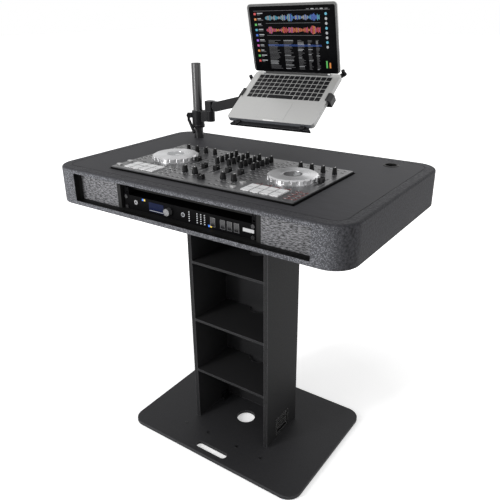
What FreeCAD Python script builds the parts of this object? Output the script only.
"""DJ booth: a pedestal desk with a rack bay, a sunk controller and a laptop arm.

Millimetres. +X to the right of someone who faces the rack bay, +Y to the rear,
+Z up. The origin is on the floor, under the middle of the desk.
"""
import FreeCAD
import Part
import math
import os

from FreeCAD import Placement, Rotation, Vector

# Desk
desk_width = 1040.0
desk_depth = 660.0
desk_top_height = 998.0
desk_corner_radius = 70.0
desk_board = 14.0
desk_edge_radius = 8.0
desk_foot_radius = 3.0
band_wall = 18.0
rim_width = 32.0
ledge_reach = 14.0
ledge_thickness = 12.0
seam_gap = 0.8
board_gap = 0.3

# Rack opening in the front of the desk
opening_inset_share = 0.09375
opening_slack = 0.1
fascia_setback = 30.0
fascia_thickness = 14.0
fascia_overlap = 14.0
bay_width = 496.0
divider_thickness = 14.0
divider_length = 360.0

# Pedestal
base_width = 714.0
base_depth = 514.0
base_centre_y = -5.0
base_thickness = 12.0
base_corner_radius = 50.0
base_chamfer = 1.5
foot_height = 4.0
foot_radius = 18.0
foot_inset = 48.0
handle_length = 130.0
handle_width = 28.0
handle_setback = 36.0
cable_hole_radius = 34.0
base_bolt_near_x = 65.0
base_bolt_far_x = 167.0
base_bolt_setback = 97.0
base_bolt_radius = 5.0
base_bolt_head = 1.6
column_width = 320.0
column_depth = 196.0
column_front_y = -110.0
column_side = 15.0
column_back = 12.0
shelf_thickness = 8.0
shelf_lower_top = 235.0
shelf_middle_top = 447.0
shelf_upper_top = 671.0
shelf_notch_radius = 32.0
bracket_leg = 22.0
bracket_thickness = 3.0
bracket_length = 40.0
bracket_setback = 12.0
vent_width = 70.0
vent_height = 58.0
vent_rise = 22.0
vent_flange = 5.0
vent_flange_thickness = 2.5
vent_sleeve = 1.5
vent_slat_count = 5
vent_slat_depth = 11.0
vent_slat_thickness = 1.6
vent_slat_angle = 35.0

# Mast and clamp collar
mast_inset = 133.0
mast_setback = 85.0
mast_radius = 17.5
mast_wall = 2.5
mast_rise = 269.0
mast_hole_gap = 0.5
mast_flange_radius = 45.0
mast_flange_thickness = 6.0
mast_bolt_count = 3
mast_bolt_circle = 33.0
mast_bolt_radius = 5.0
mast_bolt_head = 4.0
cap_thickness = 3.0
cap_plug = 12.0
cap_gap = 0.2
grommet_bore_radius = 18.0
grommet_wall = 4.0
grommet_flange = 4.0
grommet_flange_height = 1.6
collar_rise = 75.25
collar_height = 51.5
collar_radius = 23.0
running_gap = 0.05
seat_gap = 0.3
stop_ring_radius = 24.0
stop_ring_height = 10.0
link_angle = 17.0
link_length = 50.0
link_width = 28.0
link_lift = 7.25
link_height = 39.0
boss_radius = 17.0
pin_radius = 8.0
split_gap = 3.0
clamp_angle = 198.0
lug_reach = 41.0
lug_thickness = 4.0
lug_height = 18.0
lever_pin_reach = 36.0
lever_pin_rise = 8.75
lever_pin_radius = 3.0
lever_eye_radius = 8.0
lever_cheek = 2.4
lever_drop = 12.0
lever_length = 58.0
lever_thickness = 9.0
lever_width = 10.0
lever_corner_radius = 2.5
lever_inset = 22.0
lever_sweep = 40.0

# Sprung arm, wrist and forearm
knuckle_width = 32.0
knuckle_corner_radius = 6.0
knuckle_height = 36.0
knuckle_pin_rise = 18.2
tongue_reach = 34.5
tongue_thickness = 14.0
tongue_gap = 0.4
arm_angle = 1.5
arm_lift_angle = 14.5
arm_pin_spacing = 115.2
arm_width = 26.0
arm_end_radius = 17.5
arm_slot_gap = 1.0
arm_roof = 5.0
arm_pin_radius = 4.0
forearm_angle = -12.75
forearm_length = 188.0
forearm_width = 30.0
forearm_height = 28.0
forearm_neck = 22.0
forearm_neck_rise = 21.7
hinge_pin_radius = 5.0

# Tray that carries the laptop
tray_angle = 35.0
tray_roll_angle = -1.0
tray_width = 240.0
tray_front_reach = 2.5
tray_rear_inset = 28.5
tray_sheet = 4.0
tray_corner_radius = 14.0
tray_slot_width = 40.0
tray_slot_length = 96.0
tray_slot_centre = 84.0
front_bar_width = 304.0
front_bar_offset = 6.0
front_bar_depth = 13.7
front_bar_rise = 5.0
front_bar_taper = 12.0
hinge_ahead = 8.0
hinge_drop = 36.0
hinge_barrel_length = 40.0
hinge_barrel_radius = 12.0
hinge_ear = 6.0
mount_plate_size = 100.0
mount_plate_sheet = 3.0
stop_offset = 120.5
stop_width = 16.0
stop_height = 11.0
stop_corner_radius = 4.0
laptop_gap = 0.8
clip_gap = 3.5
clip_wall = 9.0
clip_length = 32.0
clip_setback = 7.0
clip_flange_reach = 9.0
clip_flange_sheet = 4.4
clip_flange_gap = 0.6
clip_flange_corner = 9.0
clip_bar_sheet = 4.0
clip_bar_reach = 84.0
post_arm_width = 18.0
post_root_x = 100.0
post_root_inset = 14.0
post_left_gap = 2.0
post_left_setback = 11.0
post_right_inset = 9.0
post_right_gap = 19.5
post_radius = 6.0
post_left_height = 22.0
post_right_height = 10.0

# Laptop
laptop_width = 325.0
laptop_depth = 227.0
laptop_thickness = 16.0
laptop_corner_radius = 12.0
laptop_edge_chamfer = 1.2
lid_thickness = 6.0
lid_gap = 2.2
lid_open_angle = 113.5
lid_hinge_inset = 8.5
lid_hinge_rise = 4.2
lid_barrel_radius = 3.8
lid_barrel_length = 236.0
lid_ear_length = 8.0
lid_pin_radius = 1.5
screen_margin = 7.0
screen_rear_margin = 0.5
screen_corner_radius = 6.0
screen_sheet = 0.8
key_well_inset = 24.5
key_well_depth = 110.0
key_well_sink = 0.8
key_well_setback = 16.0
key_gap = 3.9
key_height = 1.5
key_row_count = 6
key_column_count = 14
space_bar_start = 4
space_bar_keys = 5
trackpad_width = 104.0
trackpad_depth_share = 0.74
trackpad_setback_share = 0.125
trackpad_sheet = 0.5

# Controller sunk in the desk
controller_width = 664.0
controller_depth = 357.0
controller_setback = 72.0
controller_height = 52.0
controller_stand = 7.0
controller_wall = 2.5
controller_corner_radius = 6.0
face_sheet = 3.0
face_margin = 3.0
well_gap = 2.0
well_wall = 6.0
well_floor = 3.0
player_inset = 111.0
jog_setback_share = 0.514
jog_radius_share = 0.2073
jog_shoulder = 6.0
jog_dish_share = 0.4
jog_dish_sink = 1.2
jog_skirt_height = 4.0
jog_rim_height = 13.0
jog_top_height = 16.5
jog_spindle_radius = 10.0
jog_spindle_length = 9.0
jog_scallop_count = 22
jog_scallop_radius = 6.5
jog_scallop_offset = 3.6
pad_count_across = 4
pad_count_deep = 2
pad_width = 28.0
pad_gap = 3.0
pad_pitch = 30.5
pad_row_pitch_share = 0.0868
pad_height = 3.0
pad_bank_offset = -8.0
pad_bank_setback_share = 0.1387
button_length = 20.0
button_width = 13.0
button_gap = 0.3
button_height = 3.5
button_sink = 1.4
button_offset = -98.0
cue_setback_share = 0.2115
play_setback_share = 0.0826
knob_radius = 7.5
knob_top_radius = 5.5
knob_skirt = 3.0
knob_height = 20.0
knob_row_pitch_share = 0.0711
knob_row_count = 5
knob_rear_setback_share = 0.1359
channel_inner_share = 0.2
channel_outer_share = 0.6
large_knob_share = 1.25
large_knob_inner_share = 0.46
large_knob_outer_share = 0.8
large_knob_setback_share = 0.2199
effect_knob_count = 4
effect_knob_pitch = 38.0
effect_knob_offset = 19.0
effect_knob_setback_share = 0.1779
fader_cap_width = 13.0
fader_cap_depth = 20.0
fader_cap_height = 14.0
fader_cap_waist = 4.0
fader_lift = 1.0
fader_stem_width = 2.0
fader_stem_length = 6.0
fader_stem_drop = 6.0
fader_slot_width = 3.2
channel_travel = 60.0
channel_centre_setback_share = 0.402
cross_travel = 54.0
cross_setback_share = 0.119
tempo_gap = 10.0
tempo_travel = 76.0
tempo_setback_share = 0.5532
small_button_width = 11.0
small_button_depth = 7.0
small_button_height = 1.8
mode_button_count = 4
mode_button_setback_share = 0.2647
loop_button_columns = 2
loop_button_rows = 4
loop_button_pitch_x = 20.0
loop_button_pitch_y_share = 0.056
loop_button_offset = 74.0
loop_button_setback_share = 0.0798

# Rack unit and its rails
rack_panel_width = 482.6
rack_unit_count = 2
rack_unit_pitch = 44.45
rack_panel_height = 43.7
rack_panel_sheet = 3.0
rack_panel_lift = 0.4
rail_setback = 12.0
rack_hole_spacing = 465.1
rack_hole_low = 6.35
rack_hole_middle = 22.225
rack_hole_high = 38.1
rack_hole_radius = 3.25
rack_slot_length = 10.0
rack_body_width = 440.0
rack_body_depth = 142.0
rack_body_clear = 1.0
rack_body_wall = 1.5
rail_sheet = 2.0
rail_flange = 22.0
rail_depth = 18.0
rack_screw_radius = 2.9
rack_screw_head_radius = 5.5
rack_screw_head = 3.0
rack_screw_length = 9.0
display_width = 58.0
display_height = 28.0
display_sheet = 0.8
display_x = -112.0
encoder_x = -61.0
encoder_radius = 11.0
encoder_length = 14.0
encoder_shaft_radius = 3.0
encoder_gap = 0.5
select_button_x = -9.5
select_button_radius = 4.5
led_row_pitch = 6.5
led_column_pitch = 13.3
led_column_count = 3
led_row_count = 5
led_first_x = 43.3
led_single_x = 14.2
led_radius = 1.6
rack_button_height = 1.6
meter_count = 3
meter_width = 17.0
meter_height = 26.0
meter_pitch = 23.2
meter_first_x = 132.9
meter_single_x = 99.0

# Shared values
overrun = 5.0
upright_share = 0.99
full_turn = 360.0
quarter_turn = 90.0

UP = Vector(0, 0, 1)
ACROSS = Vector(1, 0, 0)
REARWARD = Vector(0, 1, 0)

# Heights and places worked out from the sizes above
base_top = foot_height + base_thickness
opening_height = rack_unit_count * rack_unit_pitch + opening_slack
desk_bottom = desk_top_height - 2 * desk_board - opening_height
opening_floor = desk_bottom + desk_board
opening_ceiling = desk_top_height - desk_board
desk_front_y = -desk_depth / 2
fascia_y = desk_front_y + fascia_setback
opening_inset = opening_inset_share * desk_width
opening_width = desk_width - 2 * opening_inset
mast_x = mast_inset - desk_width / 2
mast_y = desk_depth / 2 - mast_setback
column_rear_y = column_front_y + column_depth
column_centre_y = column_front_y + column_depth / 2
column_inner_x = column_width / 2 - column_side
shelf_rear_y = column_rear_y - column_back
controller_front_y = desk_front_y + controller_setback
controller_centre_y = controller_front_y + controller_depth / 2
player_offset = controller_width / 2 - player_inset
mixer_half_width = player_offset + button_offset - button_length / 2
channel_inner_x = channel_inner_share * mixer_half_width
channel_outer_x = channel_outer_share * mixer_half_width
large_knob_inner_x = large_knob_inner_share * mixer_half_width
large_knob_outer_x = large_knob_outer_share * mixer_half_width
jog_setback = jog_setback_share * controller_depth
jog_radius = jog_radius_share * controller_depth
pad_row_pitch = pad_row_pitch_share * controller_depth
pad_bank_setback = pad_bank_setback_share * controller_depth
cue_setback = cue_setback_share * controller_depth
play_setback = play_setback_share * controller_depth
knob_row_pitch = knob_row_pitch_share * controller_depth
knob_rear_setback = knob_rear_setback_share * controller_depth
large_knob_setback = large_knob_setback_share * controller_depth
effect_knob_setback = effect_knob_setback_share * controller_depth
channel_centre_setback = channel_centre_setback_share * controller_depth
cross_setback = cross_setback_share * controller_depth
tempo_setback = tempo_setback_share * controller_depth
mode_button_setback = mode_button_setback_share * controller_depth
loop_button_pitch_y = loop_button_pitch_y_share * controller_depth
loop_button_setback = loop_button_setback_share * controller_depth
tempo_offset = jog_radius + tempo_gap
jog_shoulder_radius = jog_radius - jog_shoulder
jog_dish_radius = jog_dish_share * jog_radius
pad_depth = pad_row_pitch - pad_gap
face_top = desk_top_height + controller_stand
face_bottom = face_top - face_sheet
case_bottom = face_top - controller_height
well_bottom = case_bottom - well_floor
well_half_width = controller_width / 2 + well_gap
well_front_y = controller_front_y - well_gap
well_rear_y = controller_front_y + controller_depth + well_gap
rail_front_y = fascia_y + rail_setback
rack_face_y = rail_front_y - rack_panel_sheet
rack_bottom = opening_floor + rack_panel_lift
rack_middle = rack_bottom + rack_panel_height / 2

collar_frame = Placement(
    Vector(mast_x, mast_y, desk_top_height + collar_rise), Rotation(UP, link_angle)
)
clamp_frame = collar_frame.multiply(Placement(Vector(0, 0, lever_pin_rise), Rotation(UP, clamp_angle)))
lever_frame = clamp_frame.multiply(Placement(Vector(lever_pin_reach, 0, 0), Rotation()))
link_top = link_lift + link_height / 2
elbow_point = collar_frame.multVec(Vector(link_length, 0, link_top + seat_gap))
arm_turn = Rotation(UP, arm_angle)
knuckle_frame = Placement(elbow_point, arm_turn)
lift_pin = knuckle_frame.multVec(Vector(tongue_reach, 0, knuckle_pin_rise))
arm_frame = Placement(lift_pin, arm_turn.multiply(Rotation(REARWARD, -arm_lift_angle)))
level_pin = arm_frame.multVec(Vector(arm_pin_spacing, 0, 0))
wrist_frame = Placement(
    level_pin + arm_turn.multVec(Vector(tongue_reach, 0, -knuckle_pin_rise)), arm_turn
)
forearm_top = wrist_frame.multVec(Vector(0, 0, -seat_gap))
forearm_frame = Placement(forearm_top, Rotation(UP, forearm_angle))
hinge_point = forearm_frame.multVec(Vector(forearm_length, 0, forearm_neck_rise))
tilt_turn = Rotation(REARWARD, tray_roll_angle).multiply(Rotation(ACROSS, tray_angle))
tilt_axis = tilt_turn.multVec(ACROSS)
tray_frame = Placement(
    hinge_point - tilt_turn.multVec(Vector(0, hinge_ahead, -hinge_drop)), tilt_turn
)
tray_front = laptop_depth / 2 + tray_front_reach
tray_rear = laptop_depth / 2 - tray_rear_inset
post_root_y = tray_rear - post_root_inset
clip_inner_x = laptop_width / 2 + clip_gap
key_well_width = laptop_width - 2 * key_well_inset
palm_depth = laptop_depth - key_well_setback - key_well_depth
trackpad_depth = trackpad_depth_share * palm_depth
trackpad_setback = trackpad_setback_share * palm_depth
lid_hinge_y = laptop_depth / 2 - lid_hinge_inset
lid_hinge_z = laptop_thickness + lid_hinge_rise
lid_frame = tray_frame.multiply(
    Placement(Vector(0, lid_hinge_y, lid_hinge_z), Rotation(ACROSS, -lid_open_angle))
)


# Shape helpers

def box_between(low, high):
    """Box with two opposite corners."""
    size = high - low
    return Part.makeBox(size.x, size.y, size.z, low)


def slab(centre_x, centre_y, bottom, width, depth, height):
    """Box centred on a point of the plan, standing on a height."""
    low = Vector(centre_x - width / 2, centre_y - depth / 2, bottom)
    return Part.makeBox(width, depth, height, low)


def rod(radius, foot, reach):
    """Cylinder from one point along a vector."""
    return Part.makeCylinder(radius, reach.Length, foot, reach)


def is_upright(edge):
    """True for a straight edge that runs along Z."""
    return abs(edge.tangentAt(edge.FirstParameter).z) > upright_share


def rounded(shape, radius):
    """Round the upright edges of a block."""
    return shape.makeFillet(radius, [edge for edge in shape.Edges if is_upright(edge)])


def edges_at(shape, height):
    """Edges that lie wholly at one height."""
    flat = []
    for edge in shape.Edges:
        if abs(edge.BoundBox.ZMin - height) + abs(edge.BoundBox.ZMax - height) < seat_gap:
            flat.append(edge)
    return flat


def placed(shape, frame):
    """Copy of a shape moved from its own frame into the booth's."""
    copy = shape.copy()
    copy.Placement = frame.multiply(copy.Placement)
    return copy


def mirrored_pair(shape):
    """A shape and its mirror image on the other side of the middle plane."""
    return [shape, shape.mirror(Vector(), ACROSS)]


def stadium(centre, length, width, reach):
    """Slot-shaped bar along X with round ends, extruded along Z by reach."""
    straight = (length - width) / 2
    bar = slab(centre.x, centre.y, centre.z, 2 * straight, width, reach)
    ends = []
    for side in (-1, 1):
        ends.append(rod(width / 2, centre + ACROSS * side * straight, UP * reach))
    return bar.multiFuse(ends).removeSplitter()


def turned(outline):
    """Solid of revolution about Z from (radius, height) points."""
    points = [Vector(radius, 0, height) for radius, height in outline]
    points.append(points[0])
    face = Part.Face(Part.makePolygon(points))
    return face.revolve(Vector(), UP, full_turn)


def prism_xz(outline, near_y, far_y):
    """Prism along Y from (x, z) points."""
    points = [Vector(x, near_y, z) for x, z in outline]
    points.append(points[0])
    return Part.Face(Part.makePolygon(points)).extrude(REARWARD * (far_y - near_y))


def prism_yz(outline, near_x, far_x):
    """Prism along X from (y, z) points."""
    points = [Vector(near_x, y, z) for y, z in outline]
    points.append(points[0])
    return Part.Face(Part.makePolygon(points)).extrude(ACROSS * (far_x - near_x))


def prism_xy(outline, bottom, height):
    """Prism along Z from (x, y) points."""
    points = [Vector(x, y, bottom) for x, y in outline]
    points.append(points[0])
    return Part.Face(Part.makePolygon(points)).extrude(UP * height)


# Pedestal

def base_plate():
    """Floor plate with a hand slot at the front and a cable hole in the column."""
    plate = slab(0, base_centre_y, foot_height, base_width, base_depth, base_thickness)
    plate = rounded(plate, base_corner_radius)
    plate = plate.makeChamfer(base_chamfer, edges_at(plate, base_top))
    through = base_thickness + 2 * overrun
    slot_y = base_centre_y - base_depth / 2 + handle_setback
    slot_foot = Vector(0, slot_y, foot_height - overrun)
    hole_foot = Vector(0, column_centre_y, foot_height - overrun)
    slot = stadium(slot_foot, handle_length, handle_width, through)
    hole = rod(cable_hole_radius, hole_foot, UP * through)
    return plate.cut([slot, hole])


def base_feet():
    """Four rubber pads under the corners of the plate."""
    pads = []
    for side in (-1, 1):
        for end in (-1, 1):
            x = side * (base_width / 2 - foot_inset)
            y = base_centre_y + end * (base_depth / 2 - foot_inset)
            pads.append(rod(foot_radius, Vector(x, y, 0), UP * foot_height))
    return Part.makeCompound(pads)


def vent_centre():
    """Middle of the louvre opening on the outer face of the right side."""
    height = base_top + vent_rise + vent_height / 2
    return Vector(column_width / 2, column_centre_y, height)


def vent_block(depth, width, height, stand):
    """Box round the vent's middle that reaches from the outer face inwards."""
    centre = vent_centre()
    low = Vector(centre.x - depth, centre.y - width / 2, centre.z - height / 2)
    high = Vector(centre.x + stand, centre.y + width / 2, centre.z + height / 2)
    return box_between(low, high)


def column_panel(side):
    """Side of the column; the right one has the louvre opening."""
    outer = side * column_width / 2
    inner = side * column_inner_x
    low = Vector(min(outer, inner), column_front_y, base_top)
    high = Vector(max(outer, inner), column_rear_y, desk_bottom)
    panel = box_between(low, high)
    if side > 0:
        panel = panel.cut(vent_block(column_side + overrun, vent_width, vent_height, overrun))
    return panel


def column_rear():
    """Back of the column, between the two sides."""
    low = Vector(-column_inner_x, shelf_rear_y, base_top)
    high = Vector(column_inner_x, column_rear_y, desk_bottom)
    return box_between(low, high)


def shelf(top):
    """Shelf with a round cable notch at its rear edge."""
    low = Vector(-column_inner_x, column_front_y, top - shelf_thickness)
    high = Vector(column_inner_x, shelf_rear_y, top)
    foot = Vector(0, shelf_rear_y, top - shelf_thickness - overrun)
    notch = rod(shelf_notch_radius, foot, UP * (shelf_thickness + 2 * overrun))
    return box_between(low, high).cut(notch)


def column_vent():
    """Vent insert: a flange, a sleeve through the wall and sloping slats."""
    slack = 2 * board_gap
    flange = vent_block(
        0, vent_width + 2 * vent_flange, vent_height + 2 * vent_flange, vent_flange_thickness
    )
    sleeve = vent_block(column_side, vent_width - slack, vent_height - slack, 0)
    clear_width = vent_width - slack - 2 * vent_sleeve
    clear_height = vent_height - slack - 2 * vent_sleeve
    throat = vent_block(column_side + overrun, clear_width, clear_height, overrun)
    frame = flange.fuse(sleeve).cut(throat)
    slats = []
    for row in range(vent_slat_count):
        share = (row + 1) / (vent_slat_count + 1)
        slat = slab(
            0, 0, -vent_slat_thickness / 2, vent_slat_depth, clear_width + vent_sleeve, vent_slat_thickness
        )
        spot = vent_centre()
        spot.z += (share - 1 / 2) * clear_height
        spot.x -= column_side / 2
        slats.append(placed(slat, Placement(spot, Rotation(REARWARD, vent_slat_angle))))
    return frame.multiFuse(slats)


def bracket(side, seat, direction):
    """Steel angle that ties a column side to the board at one height."""
    corner_x = side * column_inner_x
    rear_y = shelf_rear_y - bracket_setback
    front_y = rear_y - bracket_length
    leg = -side * bracket_leg
    skin = -side * bracket_thickness
    outline = [
        (corner_x, seat),
        (corner_x + leg, seat),
        (corner_x + leg, seat + direction * bracket_thickness),
        (corner_x + skin, seat + direction * bracket_thickness),
        (corner_x + skin, seat + direction * bracket_leg),
        (corner_x, seat + direction * bracket_leg),
    ]
    return prism_xz(outline, front_y, rear_y)


def column_brackets():
    """Four angles: two on the floor plate and two under the desk."""
    angles = []
    for side in (-1, 1):
        angles.append(bracket(side, base_top, 1))
        angles.append(bracket(side, desk_bottom, -1))
    return Part.makeCompound(angles)


# Desk

def desk_block(inset, bottom, top):
    """Round-cornered block of the desk's plan, drawn in by an inset."""
    block = slab(0, 0, bottom, desk_width - 2 * inset, desk_depth - 2 * inset, top - bottom)
    return rounded(block, desk_corner_radius - inset)


def desk_band():
    """Moulded band round the desk: a rim, a ledge for the top and the rack opening."""
    shell = desk_block(0, desk_bottom, desk_top_height)
    shell = shell.makeFillet(desk_edge_radius, edges_at(shell, desk_top_height))
    shell = shell.makeFillet(desk_foot_radius, edges_at(shell, desk_bottom))
    ledge_bottom = opening_ceiling - ledge_thickness
    ledge_inset = rim_width + ledge_reach
    core = desk_block(ledge_inset, desk_bottom - overrun, desk_top_height + overrun)
    seat = desk_block(rim_width, opening_ceiling, desk_top_height + overrun)
    hollow = desk_block(band_wall, desk_bottom - overrun, ledge_bottom)
    mouth = box_between(
        Vector(-opening_width / 2, desk_front_y - overrun, opening_floor),
        Vector(opening_width / 2, desk_front_y + ledge_inset + overrun, opening_ceiling),
    )
    pocket_half = opening_width / 2 + fascia_overlap + board_gap
    pocket = box_between(
        Vector(-pocket_half, desk_front_y + band_wall, opening_floor),
        Vector(pocket_half, desk_front_y + ledge_inset + overrun, opening_ceiling),
    )
    return shell.cut([core, seat, hollow, mouth, pocket])


def desk_top_panel():
    """Top board with the cut-out for the controller, the mast hole and the spare hole."""
    panel = desk_block(rim_width + seam_gap, opening_ceiling, desk_top_height)
    below = opening_ceiling - overrun
    through = desk_board + 2 * overrun
    cut_out = box_between(
        Vector(-well_half_width, well_front_y, below),
        Vector(well_half_width, well_rear_y, below + through),
    )
    mast_hole = rod(mast_radius + mast_hole_gap, Vector(mast_x, mast_y, below), UP * through)
    spare_radius = grommet_bore_radius + grommet_wall + board_gap
    spare_hole = rod(spare_radius, Vector(-mast_x, mast_y, below), UP * through)
    return panel.cut([cut_out, mast_hole, spare_hole])


def desk_bottom_panel():
    """Bottom board with a cable hole above the column."""
    panel = desk_block(band_wall + board_gap, desk_bottom, opening_floor)
    foot = Vector(0, column_centre_y, desk_bottom - overrun)
    return panel.cut(rod(cable_hole_radius, foot, UP * (desk_board + 2 * overrun)))


def controller_well():
    """Open tray under the top board that the controller sits in."""
    outer = box_between(
        Vector(-well_half_width - well_wall, well_front_y - well_wall, well_bottom),
        Vector(well_half_width + well_wall, well_rear_y + well_wall, opening_ceiling),
    )
    inner = box_between(
        Vector(-well_half_width, well_front_y, case_bottom),
        Vector(well_half_width, well_rear_y, opening_ceiling + overrun),
    )
    return outer.cut(inner)


def bay_boards():
    """Boards that line the rack bay: two dividers and two end liners."""
    near_x = bay_width / 2
    far_x = near_x + divider_thickness
    step_y = well_front_y - well_wall - board_gap
    rear_y = fascia_y + divider_length
    outline = [
        (fascia_y, opening_floor),
        (rear_y, opening_floor),
        (rear_y, well_bottom),
        (step_y, well_bottom),
        (step_y, opening_ceiling),
        (fascia_y, opening_ceiling),
    ]
    divider = prism_yz(outline, near_x, far_x)
    liner = box_between(
        Vector(opening_width / 2, desk_front_y + band_wall, opening_floor),
        Vector(opening_width / 2 + fascia_overlap, fascia_y, opening_ceiling),
    )
    return Part.makeCompound(mirrored_pair(divider) + mirrored_pair(liner))


def front_panels():
    """Set-back filler panels at both ends of the rack opening."""
    panel = box_between(
        Vector(bay_width / 2 + divider_thickness, fascia_y, opening_floor),
        Vector(opening_width / 2 + fascia_overlap, fascia_y + fascia_thickness, opening_ceiling),
    )
    return Part.makeCompound(mirrored_pair(panel))


def cable_grommet():
    """Ring that lines the spare mast hole."""
    bore = grommet_bore_radius
    sleeve = bore + grommet_wall
    flange = sleeve + grommet_flange
    ring = turned(
        [
            (bore, -desk_board),
            (sleeve, -desk_board),
            (sleeve, 0),
            (flange, 0),
            (sleeve, grommet_flange_height),
            (bore, grommet_flange_height),
        ]
    )
    return placed(ring, Placement(Vector(-mast_x, mast_y, desk_top_height), Rotation()))


# Rack rails and rack unit

def rack_hole_heights():
    """Heights of the rail holes for two rack units, above the opening's floor."""
    heights = []
    for unit in range(2):
        for rise in (rack_hole_low, rack_hole_middle, rack_hole_high):
            heights.append(rack_bottom + unit * rack_unit_pitch + rise)
    return heights


def rack_rails():
    """Two steel angles with rack holes on the bay's dividers."""
    wall_x = bay_width / 2
    flange = box_between(
        Vector(wall_x - rail_flange, rail_front_y, opening_floor),
        Vector(wall_x, rail_front_y + rail_sheet, opening_ceiling),
    )
    leg = box_between(
        Vector(wall_x - rail_sheet, rail_front_y, opening_floor),
        Vector(wall_x, rail_front_y + rail_depth, opening_ceiling),
    )
    holes = []
    for height in rack_hole_heights():
        foot = Vector(rack_hole_spacing / 2, rail_front_y - overrun, height)
        holes.append(rod(rack_hole_radius, foot, REARWARD * (rail_sheet + 2 * overrun)))
    rail = flange.fuse(leg).removeSplitter().cut(holes)
    return Part.makeCompound(mirrored_pair(rail))


def rack_screw_points():
    """Where the rack unit's four screws meet its panel."""
    points = []
    for side in (-1, 1):
        for rise in (rack_hole_low, rack_hole_high):
            points.append(Vector(side * rack_hole_spacing / 2, rack_face_y, rack_bottom + rise))
    return points


def rack_face_box(centre_x, width, height, front, rear):
    """Box on the rack panel, about its middle height, between two depths."""
    low = Vector(centre_x - width / 2, front, rack_middle - height / 2)
    high = Vector(centre_x + width / 2, rear, rack_middle + height / 2)
    return box_between(low, high)


def rack_unit():
    """Rack panel with slotted ears and a sheet body open behind it."""
    panel = rack_face_box(0, rack_panel_width, rack_panel_height, rack_face_y, rail_front_y)
    rear_y = rail_front_y + rack_body_depth
    body_height = rack_panel_height - 2 * rack_body_clear
    body = rack_face_box(0, rack_body_width, body_height, rail_front_y, rear_y)
    hollow = rack_face_box(
        0,
        rack_body_width - 2 * rack_body_wall,
        body_height - 2 * rack_body_wall,
        rail_front_y,
        rear_y - rack_body_wall,
    )
    cuts = []
    for point in rack_screw_points():
        slot = stadium(Vector(), rack_slot_length, 2 * rack_hole_radius, rack_panel_sheet + 2 * overrun)
        spot = point + REARWARD * (rack_panel_sheet + overrun)
        cuts.append(placed(slot, Placement(spot, Rotation(ACROSS, quarter_turn))))
    shaft_radius = encoder_shaft_radius + running_gap
    foot = Vector(encoder_x, rack_face_y - overrun, rack_middle)
    cuts.append(rod(shaft_radius, foot, REARWARD * (rack_panel_sheet + 2 * overrun)))
    return panel.fuse(body.cut(hollow)).removeSplitter().cut(cuts)


def rack_display():
    """Display window on the rack panel."""
    front = rack_face_y - display_sheet
    return rack_face_box(display_x, display_width, display_height, front, rack_face_y)


def rack_encoder():
    """Data knob with its shaft through the panel."""
    rear = rack_face_y - encoder_gap
    knob = turned(
        [
            (0, 0),
            (encoder_radius, 0),
            (encoder_radius, encoder_length - encoder_gap),
            (encoder_radius - encoder_gap, encoder_length),
            (0, encoder_length),
        ]
    )
    shaft_foot = Vector(encoder_x, rear, rack_middle)
    knob = placed(knob, Placement(shaft_foot, Rotation(ACROSS, quarter_turn)))
    shaft = rod(encoder_shaft_radius, shaft_foot, REARWARD * (encoder_gap + rack_panel_sheet))
    return knob.fuse(shaft).removeSplitter()


def rack_buttons():
    """Select button, indicator dots and meter windows on the rack panel."""
    pieces = []
    reach = REARWARD * -rack_button_height
    spot = Vector(select_button_x, rack_face_y, rack_middle)
    pieces.append(rod(select_button_radius, spot, reach))
    columns = [led_single_x]
    columns += [led_first_x + index * led_column_pitch for index in range(led_column_count)]
    for x in columns:
        for row in range(led_row_count):
            z = rack_middle + (row - (led_row_count - 1) / 2) * led_row_pitch
            pieces.append(rod(led_radius, Vector(x, rack_face_y, z), reach))
    front = rack_face_y - rack_button_height
    meters = [meter_single_x]
    meters += [meter_first_x + index * meter_pitch for index in range(meter_count)]
    for x in meters:
        pieces.append(rack_face_box(x, meter_width, meter_height, front, rack_face_y))
    return Part.makeCompound(pieces)


# Mast and collar

def mast_pole():
    """Tube with a welded flange on the bottom board."""
    foot = Vector(mast_x, mast_y, opening_floor)
    height = desk_top_height + mast_rise - opening_floor
    flange = rod(mast_flange_radius, foot, UP * mast_flange_thickness)
    tube = rod(mast_radius, foot, UP * height)
    floor = foot + UP * mast_flange_thickness
    bore = rod(mast_radius - mast_wall, floor, UP * height)
    return flange.fuse(tube).removeSplitter().cut(bore)


def mast_cap():
    """Plastic plug that closes the top of the mast."""
    plug_radius = mast_radius - mast_wall - cap_gap
    cap = turned(
        [
            (0, -cap_plug),
            (plug_radius, -cap_plug),
            (plug_radius, 0),
            (mast_radius, 0),
            (mast_radius, cap_thickness - cap_gap),
            (mast_radius - cap_gap, cap_thickness),
            (0, cap_thickness),
        ]
    )
    return placed(cap, Placement(Vector(mast_x, mast_y, desk_top_height + mast_rise), Rotation()))


def ring(inner, outer, bottom, height):
    """Plain ring about Z."""
    shape = rod(outer, Vector(0, 0, bottom), UP * height)
    return shape.cut(rod(inner, Vector(0, 0, bottom - overrun), UP * (height + 2 * overrun)))


def stop_ring():
    """Ring under the collar that sets its height on the mast."""
    bottom = -collar_height / 2 - seat_gap - stop_ring_height
    shape = ring(mast_radius + running_gap, stop_ring_radius, bottom, stop_ring_height)
    return placed(shape, collar_frame)


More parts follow.
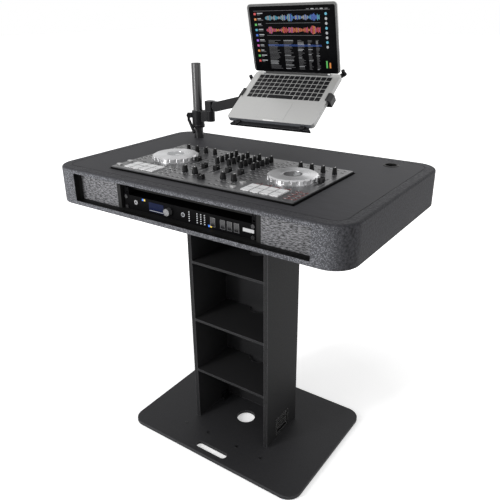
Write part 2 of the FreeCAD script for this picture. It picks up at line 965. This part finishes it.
def collar_clamp():
    """Split collar with clamp lugs on one side and the elbow boss on the other."""
    half = collar_height / 2
    collar = rod(collar_radius, Vector(0, 0, -half), UP * collar_height)
    link_bottom = link_lift - link_height / 2
    bar = slab(link_length / 2, 0, link_bottom, link_length, link_width, link_height)
    boss = rod(boss_radius, Vector(link_length, 0, link_bottom), UP * link_height)
    lug_width = 2 * lug_thickness + split_gap
    lugs = slab(lug_reach / 2, 0, -lug_height / 2, lug_reach, lug_width, lug_height)
    body = placed(collar.multiFuse([bar, boss]), collar_frame)
    body = body.fuse(placed(lugs, clamp_frame)).removeSplitter()
    above = collar_height + 2 * overrun
    bottom = -half - overrun
    bore = rod(mast_radius + running_gap, Vector(0, 0, bottom), UP * above)
    shaft_hole = rod(pin_radius + running_gap, Vector(link_length, 0, bottom), UP * above)
    reach = lug_reach + overrun
    split = slab(reach / 2, 0, -collar_height, reach, split_gap, 2 * collar_height)
    pin_foot = Vector(lever_pin_reach, -lug_width, 0)
    pin_hole = rod(lever_pin_radius + running_gap, pin_foot, REARWARD * 2 * lug_width)
    cuts = [placed(bore, collar_frame), placed(shaft_hole, collar_frame)]
    return body.cut(cuts + [placed(split, clamp_frame), placed(pin_hole, clamp_frame)])


def clamp_lever():
    """Lever that straddles the lugs on its pin and sweeps down across the front of the mast."""
    inner = lug_thickness + split_gap / 2 + seat_gap
    outer = inner + lever_cheek
    run = lever_drop + lever_thickness
    cheeks = []
    for side in (-1, 1):
        foot = Vector(0, side * inner, 0)
        cheeks.append(rod(lever_eye_radius, foot, REARWARD * side * lever_cheek))
        middle = side * (inner + outer) / 2
        cheeks.append(slab(0, middle, -run, lever_thickness, lever_cheek, run))
    pin = rod(lever_pin_radius, Vector(0, -outer, 0), REARWARD * 2 * outer)
    bridge = slab(0, 0, -run, lever_thickness, 2 * outer, lever_thickness)
    start = Vector(0, 0, -lever_drop - lever_thickness / 2)
    reach = Vector(-lever_inset, lever_sweep, -lever_length) - start
    blade = rounded(slab(0, 0, 0, lever_thickness, lever_width, reach.Length), lever_corner_radius)
    blade = placed(blade, Placement(start, Rotation(UP, reach)))
    lever = bridge.multiFuse(cheeks + [pin, blade]).removeSplitter()
    return placed(lever, lever_frame)


# Arm

def knuckle(towards, shaft_length):
    """Square block with a tongue on one side and a swivel shaft below."""
    block = slab(0, 0, 0, knuckle_width, knuckle_width, knuckle_height)
    block = rounded(block, knuckle_corner_radius)
    half = tongue_thickness / 2
    tip = Vector(towards * tongue_reach, -half, knuckle_pin_rise)
    eye = rod(arm_end_radius, tip, REARWARD * tongue_thickness)
    bottom = knuckle_pin_rise - arm_end_radius
    tongue = slab(tip.x / 2, 0, bottom, tongue_reach, tongue_thickness, 2 * arm_end_radius)
    shaft = rod(pin_radius, UP * -shaft_length, UP * shaft_length)
    body = block.multiFuse([eye, tongue, shaft]).removeSplitter()
    through = REARWARD * (tongue_thickness + 2 * overrun)
    bore = rod(arm_pin_radius + running_gap, tip - REARWARD * overrun, through)
    return body.cut(bore)


def elbow_knuckle():
    """Knuckle that turns on the collar's boss and carries the sprung arm."""
    return placed(knuckle(1, link_height + seat_gap), knuckle_frame)


def wrist_knuckle():
    """Knuckle at the tip of the sprung arm that carries the forearm."""
    return placed(knuckle(-1, forearm_height + seat_gap), wrist_frame)


def arm_outline(radius, near_y, far_y):
    """Bar with round ends about the two pins of the sprung arm."""
    width = REARWARD * (far_y - near_y)
    ends = [rod(radius, Vector(x, near_y, 0), width) for x in (0, arm_pin_spacing)]
    bar = box_between(Vector(0, near_y, -radius), Vector(arm_pin_spacing, far_y, radius))
    return bar.multiFuse(ends).removeSplitter()


def spring_arm():
    """Sprung arm: a cover open below, slotted at both ends for the knuckles, with its pins."""
    half = arm_width / 2
    cover = arm_outline(arm_end_radius, -half, half)
    slot_half = tongue_thickness / 2 + tongue_gap
    depth = arm_end_radius + arm_slot_gap
    cuts = []
    for x, towards in ((0, 1), (arm_pin_spacing, -1)):
        outer = x - towards * (arm_end_radius + overrun)
        inner = x + towards * depth
        low = Vector(min(outer, inner), -slot_half, -arm_end_radius - overrun)
        high = Vector(max(outer, inner), slot_half, arm_end_radius + overrun)
        cuts.append(box_between(low, high))
    trough = box_between(
        Vector(depth - overrun, -slot_half, -arm_end_radius - overrun),
        Vector(arm_pin_spacing - depth + overrun, slot_half, arm_end_radius - arm_roof),
    )
    pins = []
    for x in (0, arm_pin_spacing):
        pins.append(rod(arm_pin_radius, Vector(x, -half, 0), REARWARD * arm_width))
    arm = cover.cut(cuts + [trough]).multiFuse(pins).removeSplitter()
    return placed(arm, arm_frame)


def forearm():
    """Level bar from the wrist to the tilt hinge, with the hinge barrel on its neck."""
    bar = slab(forearm_length / 2, 0, -forearm_height, forearm_length, forearm_width, forearm_height)
    ends = []
    for x in (0, forearm_length):
        ends.append(rod(boss_radius, Vector(x, 0, -forearm_height), UP * forearm_height))
    hole_foot = Vector(0, 0, -forearm_height - overrun)
    hole = rod(pin_radius + running_gap, hole_foot, UP * (forearm_height + 2 * overrun))
    body = placed(bar.multiFuse(ends).removeSplitter().cut(hole), forearm_frame)
    neck = slab(
        hinge_point.x,
        hinge_point.y,
        hinge_point.z - forearm_neck_rise - seat_gap,
        forearm_neck,
        forearm_neck,
        forearm_neck_rise + seat_gap,
    )
    barrel_foot = hinge_point - tilt_axis * hinge_barrel_length / 2
    barrel = rod(hinge_barrel_radius, barrel_foot, tilt_axis * hinge_barrel_length)
    pin_foot = barrel_foot - tilt_axis * overrun
    pin_reach = tilt_axis * (hinge_barrel_length + 2 * overrun)
    pin_hole = rod(hinge_pin_radius + running_gap, pin_foot, pin_reach)
    return body.multiFuse([neck, barrel]).removeSplitter().cut(pin_hole)


# Tray

def tray_ear(side):
    """Hinge ear under the tray."""
    near = hinge_barrel_length / 2 + seat_gap
    x = side * (near + hinge_ear / 2)
    height = hinge_drop - tray_sheet
    plate = slab(x, hinge_ahead, -hinge_drop, hinge_ear, 2 * hinge_barrel_radius, height)
    foot = Vector(x - hinge_ear / 2, hinge_ahead, -hinge_drop)
    return plate.fuse(rod(hinge_barrel_radius, foot, ACROSS * hinge_ear))


def front_bar():
    """Bar in front of the laptop, slanted at its ends, with two round-cornered stops."""
    rear_y = -laptop_depth / 2 - laptop_gap
    front_y = rear_y - front_bar_depth
    left = front_bar_offset - front_bar_width / 2
    right = front_bar_offset + front_bar_width / 2
    outline = [
        (left, front_y),
        (right, front_y),
        (right - front_bar_taper, rear_y),
        (left + front_bar_taper, rear_y),
    ]
    pieces = [prism_xy(outline, -tray_sheet, tray_sheet + front_bar_rise)]
    for side in (-1, 1):
        stop = slab(
            front_bar_offset + side * stop_offset,
            (front_y + rear_y) / 2,
            -tray_sheet,
            stop_width,
            front_bar_depth,
            tray_sheet + stop_height,
        )
        pieces.append(rounded(stop, stop_corner_radius))
    return pieces


def tray_plate():
    """Pressed tray with lightening slots, a front bar, hinge ears and the hinge pin."""
    middle_y = (tray_rear - tray_front) / 2
    sheet = slab(0, middle_y, -tray_sheet, tray_width, tray_front + tray_rear, tray_sheet)
    sheet = rounded(sheet, tray_corner_radius)
    plate_bottom = -tray_sheet - mount_plate_sheet
    plate = slab(0, hinge_ahead, plate_bottom, mount_plate_size, mount_plate_size, mount_plate_sheet)
    slots = []
    for side in (-1, 1):
        foot = Vector(side * tray_slot_centre, 0, -tray_sheet - overrun)
        slot = slab(foot.x, foot.y, foot.z, tray_slot_width, tray_slot_length, tray_sheet + 2 * overrun)
        slots.append(rounded(slot, tray_corner_radius))
    span = hinge_barrel_length + 2 * (seat_gap + hinge_ear)
    foot = Vector(-span / 2, hinge_ahead, -hinge_drop)
    hole = rod(hinge_pin_radius + running_gap, foot - ACROSS * overrun, ACROSS * (span + 2 * overrun))
    pieces = [plate, tray_ear(-1), tray_ear(1)] + front_bar()
    body = sheet.cut(slots).multiFuse(pieces).removeSplitter().cut(hole)
    pin = rod(hinge_pin_radius, foot, ACROSS * span)
    return placed(Part.makeCompound([body, pin]), tray_frame)


def side_clip(side):
    """Clip that slides out from under the tray and hooks over one side of the laptop."""
    top = -tray_sheet - seat_gap
    bottom = top - clip_bar_sheet
    inner = clip_inner_x
    outer = inner + clip_wall
    hook_bottom = laptop_thickness + clip_flange_gap
    hook_top = hook_bottom + clip_flange_sheet
    outline = [
        (outer - clip_bar_reach, bottom),
        (outer, bottom),
        (outer, hook_top - clip_flange_corner),
        (outer - clip_flange_corner, hook_top),
        (inner - clip_flange_reach, hook_top),
        (inner - clip_flange_reach, hook_bottom),
        (inner, hook_bottom),
        (inner, top),
        (outer - clip_bar_reach, top),
    ]
    clip = prism_xz(outline, clip_setback - clip_length / 2, clip_setback + clip_length / 2)
    if side < 0:
        clip = clip.mirror(Vector(), ACROSS)
    return placed(clip, tray_frame)


def post_arm(side, tip_x, tip_y, height):
    """Flat arm under a rear corner of the tray with a post at its end."""
    bottom = -tray_sheet - clip_bar_sheet
    run = Vector(tip_x - post_root_x, tip_y - post_root_y, 0)
    reach = run.Length
    bar = stadium(Vector(reach / 2, 0, bottom), reach + post_arm_width, post_arm_width, clip_bar_sheet)
    post = rod(post_radius, Vector(reach, 0, bottom), UP * (height - bottom))
    arm = bar.fuse(post).removeSplitter()
    arm = placed(arm, Placement(Vector(post_root_x, post_root_y, 0), Rotation(ACROSS, run)))
    if side < 0:
        arm = arm.mirror(Vector(), ACROSS)
    return arm


def rear_posts():
    """The two rear arms with their posts, each set to its own reach."""
    left_x = laptop_width / 2 + post_left_gap + post_radius
    right_x = laptop_width / 2 - post_right_inset
    right_y = laptop_depth / 2 + post_right_gap + post_radius
    left = post_arm(-1, left_x, post_root_y + post_left_setback, post_left_height)
    right = post_arm(1, right_x, right_y, post_right_height)
    return placed(Part.makeCompound([left, right]), tray_frame)


# Laptop

def key_well_front():
    """Front edge of the keyboard well on the laptop's deck."""
    return laptop_depth / 2 - key_well_setback - key_well_depth


def laptop_base():
    """Lower half of the laptop: deck, keyboard well and the two hinge ears."""
    body = slab(0, 0, 0, laptop_width, laptop_depth, laptop_thickness)
    body = rounded(body, laptop_corner_radius)
    body = body.makeChamfer(laptop_edge_chamfer, edges_at(body, 0))
    well_y = key_well_front() + key_well_depth / 2
    floor = laptop_thickness - key_well_sink
    well = slab(0, well_y, floor, key_well_width, key_well_depth, key_well_sink + overrun)
    body = body.cut(well)
    ears = []
    for side in (-1, 1):
        near = lid_barrel_length / 2 + seat_gap
        start = Vector(side * near, lid_hinge_y, lid_hinge_z)
        ears.append(rod(lid_barrel_radius, start, ACROSS * side * lid_ear_length))
        foot_x = side * (near + lid_ear_length / 2)
        height = lid_hinge_z - laptop_thickness
        width = 2 * lid_barrel_radius
        ears.append(slab(foot_x, lid_hinge_y, laptop_thickness, lid_ear_length, width, height))
        ears.append(rod(lid_pin_radius, start, ACROSS * -side * lid_ear_length))
    return placed(body.multiFuse(ears).removeSplitter(), tray_frame)


def laptop_keys():
    """Rows of keys in the well, with one wide key in the front row."""
    pitch_x = key_well_width / key_column_count
    pitch_y = key_well_depth / key_row_count
    floor = laptop_thickness - key_well_sink
    depth = pitch_y - key_gap
    keys = []
    for row in range(key_row_count):
        y = key_well_front() + (row + 1 / 2) * pitch_y
        column = 0
        while column < key_column_count:
            span = 1
            if row == 0 and column == space_bar_start:
                span = space_bar_keys
            x = -key_well_width / 2 + (column + span / 2) * pitch_x
            keys.append(slab(x, y, floor, span * pitch_x - key_gap, depth, key_height))
            column += span
    return placed(Part.makeCompound(keys), tray_frame)


def laptop_trackpad():
    """Touch plate in front of the keys."""
    front = -laptop_depth / 2 + trackpad_setback
    pad = slab(
        0, front + trackpad_depth / 2, laptop_thickness, trackpad_width, trackpad_depth, trackpad_sheet
    )
    return placed(pad, tray_frame)


def lid_inner():
    """Height of the lid's inner face above its hinge line, lid shut."""
    return lid_gap - lid_hinge_rise


def laptop_lid():
    """Lid shell, drawn shut and swung to its open angle."""
    rear = -lid_barrel_radius - seat_gap
    front = -lid_hinge_y - laptop_depth / 2
    depth = rear - front
    lid = slab(0, (front + rear) / 2, lid_inner(), laptop_width, depth, lid_thickness)
    lid = rounded(lid, laptop_corner_radius)
    outer = lid_inner() + lid_thickness
    lid = lid.makeChamfer(laptop_edge_chamfer, edges_at(lid, outer))
    return placed(lid, lid_frame)


def laptop_hinge():
    """Hinge barrel along the lid's lower edge, bored for the pins of the ears."""
    foot = Vector(-lid_barrel_length / 2, 0, 0)
    barrel = rod(lid_barrel_radius, foot, ACROSS * lid_barrel_length)
    web = box_between(
        Vector(-lid_barrel_length / 2, -lid_barrel_radius - seat_gap, lid_inner()),
        Vector(lid_barrel_length / 2, 0, lid_barrel_radius),
    )
    shape = barrel.fuse(web).removeSplitter()
    bores = []
    for side in (-1, 1):
        mouth = Vector(side * (lid_barrel_length / 2 + overrun), 0, 0)
        bores.append(rod(lid_pin_radius + running_gap, mouth, ACROSS * -side * (lid_ear_length + overrun)))
    return placed(shape.cut(bores), lid_frame)


def laptop_screen():
    """Glass panel on the inner face of the lid."""
    rear = -lid_barrel_radius - seat_gap - screen_rear_margin
    front = -lid_hinge_y - laptop_depth / 2 + screen_margin
    panel = slab(
        0,
        (front + rear) / 2,
        lid_inner() - screen_sheet,
        laptop_width - 2 * screen_margin,
        rear - front,
        screen_sheet,
    )
    return placed(rounded(panel, screen_corner_radius), lid_frame)


# Controller

def controller_point(x, setback, height):
    """Point on the controller from its middle and its front edge."""
    return Vector(x, controller_front_y + setback, height)


def controller_case():
    """Tub of the controller, open under the face plate."""
    height = face_bottom - case_bottom
    outer = slab(0, controller_centre_y, case_bottom, controller_width, controller_depth, height)
    outer = rounded(outer, controller_corner_radius)
    inner = slab(
        0,
        controller_centre_y,
        case_bottom + controller_wall,
        controller_width - 2 * controller_wall - 2 * face_margin,
        controller_depth - 2 * controller_wall - 2 * face_margin,
        controller_height,
    )
    return outer.cut(inner)


def tempo_x(side):
    """Place of a player's tempo slot across the controller."""
    return side * player_offset + tempo_offset


def transport_point(side, setback, height):
    """Middle of a transport button of one player."""
    return controller_point(side * player_offset + button_offset, setback, height)


def face_slot(x, setback, travel, width, depth):
    """Through slot in the face for a fader stem."""
    foot = controller_point(x, setback, face_bottom - overrun)
    return slab(foot.x, foot.y, foot.z, width, depth + travel, face_sheet + 2 * overrun)


def controller_face():
    """Face plate with its fader slots, jog sockets and button holes."""
    width = controller_width - 2 * face_margin
    depth = controller_depth - 2 * face_margin
    plate = slab(0, controller_centre_y, face_bottom, width, depth, face_sheet)
    plate = rounded(plate, controller_corner_radius - face_margin)
    stem_depth = fader_stem_length + 2 * (fader_slot_width - fader_stem_width)
    cuts = []
    for side in (-1, 1):
        for x in (channel_inner_x, channel_outer_x):
            cuts.append(
                face_slot(side * x, channel_centre_setback, channel_travel, fader_slot_width, stem_depth)
            )
        cuts.append(face_slot(tempo_x(side), tempo_setback, tempo_travel, fader_slot_width, stem_depth))
        socket_foot = controller_point(side * player_offset, jog_setback, face_bottom - overrun)
        through = UP * (face_sheet + 2 * overrun)
        cuts.append(rod(jog_spindle_radius + running_gap, socket_foot, through))
        for setback in (cue_setback, play_setback):
            foot = transport_point(side, setback, face_bottom - overrun)
            slack = 2 * button_gap
            cuts.append(stadium(foot, button_length + slack, button_width + slack, through.Length))
    cross_foot = controller_point(0, cross_setback, face_bottom - overrun)
    cuts.append(
        slab(
            cross_foot.x,
            cross_foot.y,
            cross_foot.z,
            cross_travel + stem_depth,
            fader_slot_width,
            face_sheet + 2 * overrun,
        )
    )
    return plate.cut(cuts)


def jog_wheel(side):
    """Jog wheel: a scalloped rim, a platter with a sunk middle and a spindle."""
    body = turned(
        [
            (0, -jog_spindle_length),
            (jog_spindle_radius, -jog_spindle_length),
            (jog_spindle_radius, seat_gap),
            (jog_radius, seat_gap),
            (jog_radius, jog_rim_height),
            (jog_shoulder_radius, jog_top_height),
            (jog_dish_radius, jog_top_height),
            (jog_dish_radius, jog_top_height - jog_dish_sink),
            (0, jog_top_height - jog_dish_sink),
        ]
    )
    scallops = []
    for index in range(jog_scallop_count):
        angle = 2 * math.pi * index / jog_scallop_count
        reach = jog_radius + jog_scallop_offset
        foot = Vector(reach * math.cos(angle), reach * math.sin(angle), jog_skirt_height)
        scallops.append(rod(jog_scallop_radius, foot, UP * jog_top_height))
    wheel = body.cut(scallops)
    spot = controller_point(side * player_offset, jog_setback, face_top)
    return placed(wheel, Placement(spot, Rotation()))


def pad_bank(side):
    """Eight rubber pads of one player."""
    pads = []
    for column in range(pad_count_across):
        for row in range(pad_count_deep):
            x = side * player_offset + pad_bank_offset
            x += (column - (pad_count_across - 1) / 2) * pad_pitch
            setback = pad_bank_setback + (row - (pad_count_deep - 1) / 2) * pad_row_pitch
            foot = controller_point(x, setback, face_top)
            pads.append(slab(foot.x, foot.y, foot.z, pad_width, pad_depth, pad_height))
    return pads


def performance_pads():
    """Both banks of pads."""
    return Part.makeCompound(pad_bank(-1) + pad_bank(1))


def transport_button(side, setback):
    """Oval button that stands in its hole in the face."""
    foot = transport_point(side, setback, face_top - button_sink)
    return stadium(foot, button_length, button_width, button_sink + button_height)


def knob(x, setback, scale_share=1):
    """Tapered knob on a skirt."""
    base = knob_radius * scale_share
    crown = knob_top_radius * scale_share
    shape = turned(
        [(0, 0), (base, 0), (base, knob_skirt), (crown, knob_height), (0, knob_height)]
    )
    return placed(shape, Placement(controller_point(x, setback, face_top), Rotation()))


def controller_knobs():
    """Mixer knobs in four strips, larger knobs in front of them and effect knobs behind."""
    knobs = []
    rear = controller_depth - knob_rear_setback
    for side in (-1, 1):
        for x in (channel_inner_x, channel_outer_x):
            for row in range(knob_row_count):
                knobs.append(knob(side * x, rear - row * knob_row_pitch))
        for x in (large_knob_inner_x, large_knob_outer_x):
            knobs.append(knob(side * x, large_knob_setback, large_knob_share))
        for index in range(effect_knob_count):
            x = side * player_offset + effect_knob_offset
            x += (index - (effect_knob_count - 1) / 2) * effect_knob_pitch
            knobs.append(knob(x, controller_depth - effect_knob_setback))
    return Part.makeCompound(knobs)


def fader(x, setback, crosswise):
    """Fader cap with a waisted grip and a stem through the face."""
    half = fader_cap_depth / 2
    waist = fader_cap_waist / 2
    top = fader_lift + fader_cap_height
    saddle = fader_lift + fader_cap_height - fader_cap_waist
    outline = [
        (-half, fader_lift),
        (half, fader_lift),
        (half - waist, top),
        (waist, saddle),
        (-waist, saddle),
        (waist - half, top),
    ]
    cap = prism_yz(outline, -fader_cap_width / 2, fader_cap_width / 2)
    stem = slab(0, 0, -fader_stem_drop, fader_stem_width, fader_stem_length, fader_stem_drop + fader_lift)
    turn = Rotation(UP, quarter_turn) if crosswise else Rotation()
    return placed(cap.fuse(stem).removeSplitter(), Placement(controller_point(x, setback, face_top), turn))


def small_button(x, setback):
    """Flat rectangular button on the face."""
    foot = controller_point(x, setback, face_top)
    return slab(foot.x, foot.y, foot.z, small_button_width, small_button_depth, small_button_height)


def controller_buttons():
    """Mode buttons behind the pads and loop buttons beside them."""
    buttons = []
    for side in (-1, 1):
        for index in range(mode_button_count):
            x = side * player_offset + pad_bank_offset
            x += (index - (mode_button_count - 1) / 2) * pad_pitch
            buttons.append(small_button(x, mode_button_setback))
        for column in range(loop_button_columns):
            for row in range(loop_button_rows):
                x = side * player_offset + loop_button_offset + column * loop_button_pitch_x
                buttons.append(small_button(x, loop_button_setback + row * loop_button_pitch_y))
    return Part.makeCompound(buttons)


# Fasteners

def booth_bolts():
    """Bolt heads on the base plate and the mast flange, and the rack screws."""
    bolts = []
    bolt_y = base_centre_y - base_depth / 2 + base_bolt_setback
    for x in (-base_bolt_far_x, -base_bolt_near_x, base_bolt_near_x, base_bolt_far_x):
        bolts.append(rod(base_bolt_radius, Vector(x, bolt_y, base_top), UP * base_bolt_head))
    for index in range(mast_bolt_count):
        angle = 2 * math.pi * index / mast_bolt_count
        x = mast_x + mast_bolt_circle * math.cos(angle)
        y = mast_y + mast_bolt_circle * math.sin(angle)
        foot = Vector(x, y, opening_floor + mast_flange_thickness)
        bolts.append(rod(mast_bolt_radius, foot, UP * mast_bolt_head))
    for point in rack_screw_points():
        head = rod(rack_screw_head_radius, point, REARWARD * -rack_screw_head)
        shank = rod(rack_screw_radius, point, REARWARD * rack_screw_length)
        bolts.append(head.fuse(shank).removeSplitter())
    return Part.makeCompound(bolts)


def booth_nodes():
    """Every piece of the booth by its node name."""
    nodes = {
        "base_plate": base_plate(),
        "base_feet": base_feet(),
        "column_left": column_panel(-1),
        "column_right": column_panel(1),
        "column_back": column_rear(),
        "shelf_lower": shelf(shelf_lower_top),
        "shelf_middle": shelf(shelf_middle_top),
        "shelf_upper": shelf(shelf_upper_top),
        "column_vent": column_vent(),
        "column_brackets": column_brackets(),
        "booth_bolts": booth_bolts(),
        "desk_band": desk_band(),
        "desk_top": desk_top_panel(),
        "desk_bottom": desk_bottom_panel(),
        "controller_well": controller_well(),
        "bay_boards": bay_boards(),
        "front_panels": front_panels(),
        "rack_rails": rack_rails(),
        "cable_grommet": cable_grommet(),
        "mast_pole": mast_pole(),
        "mast_cap": mast_cap(),
        "stop_ring": stop_ring(),
        "collar_clamp": collar_clamp(),
        "clamp_lever": clamp_lever(),
        "elbow_knuckle": elbow_knuckle(),
        "spring_arm": spring_arm(),
        "wrist_knuckle": wrist_knuckle(),
        "forearm": forearm(),
        "tray_plate": tray_plate(),
        "side_clip_left": side_clip(-1),
        "side_clip_right": side_clip(1),
        "rear_posts": rear_posts(),
        "laptop_base": laptop_base(),
        "laptop_keys": laptop_keys(),
        "laptop_trackpad": laptop_trackpad(),
        "laptop_lid": laptop_lid(),
        "laptop_hinge": laptop_hinge(),
        "laptop_screen": laptop_screen(),
        "controller_case": controller_case(),
        "controller_face": controller_face(),
        "jog_left": jog_wheel(-1),
        "jog_right": jog_wheel(1),
        "performance_pads": performance_pads(),
        "controller_knobs": controller_knobs(),
        "controller_buttons": controller_buttons(),
        "cross_fader": fader(0, cross_setback, True),
        "rack_unit": rack_unit(),
        "rack_display": rack_display(),
        "rack_encoder": rack_encoder(),
        "rack_buttons": rack_buttons(),
    }
    channels = (-channel_outer_x, -channel_inner_x, channel_inner_x, channel_outer_x)
    for number, x in enumerate(channels, 1):
        nodes[f"channel_fader_{number}"] = fader(x, channel_centre_setback, False)
    for name, side in (("left", -1), ("right", 1)):
        nodes[f"tempo_{name}"] = fader(tempo_x(side), tempo_setback, False)
        nodes[f"cue_{name}"] = transport_button(side, cue_setback)
        nodes[f"play_{name}"] = transport_button(side, play_setback)
    return nodes


def write_parts():
    """Write one STEP file per node."""
    os.makedirs("parts", exist_ok=True)
    for name, shape in booth_nodes().items():
        shape.exportStep(f"parts/{name}.step")


write_parts()
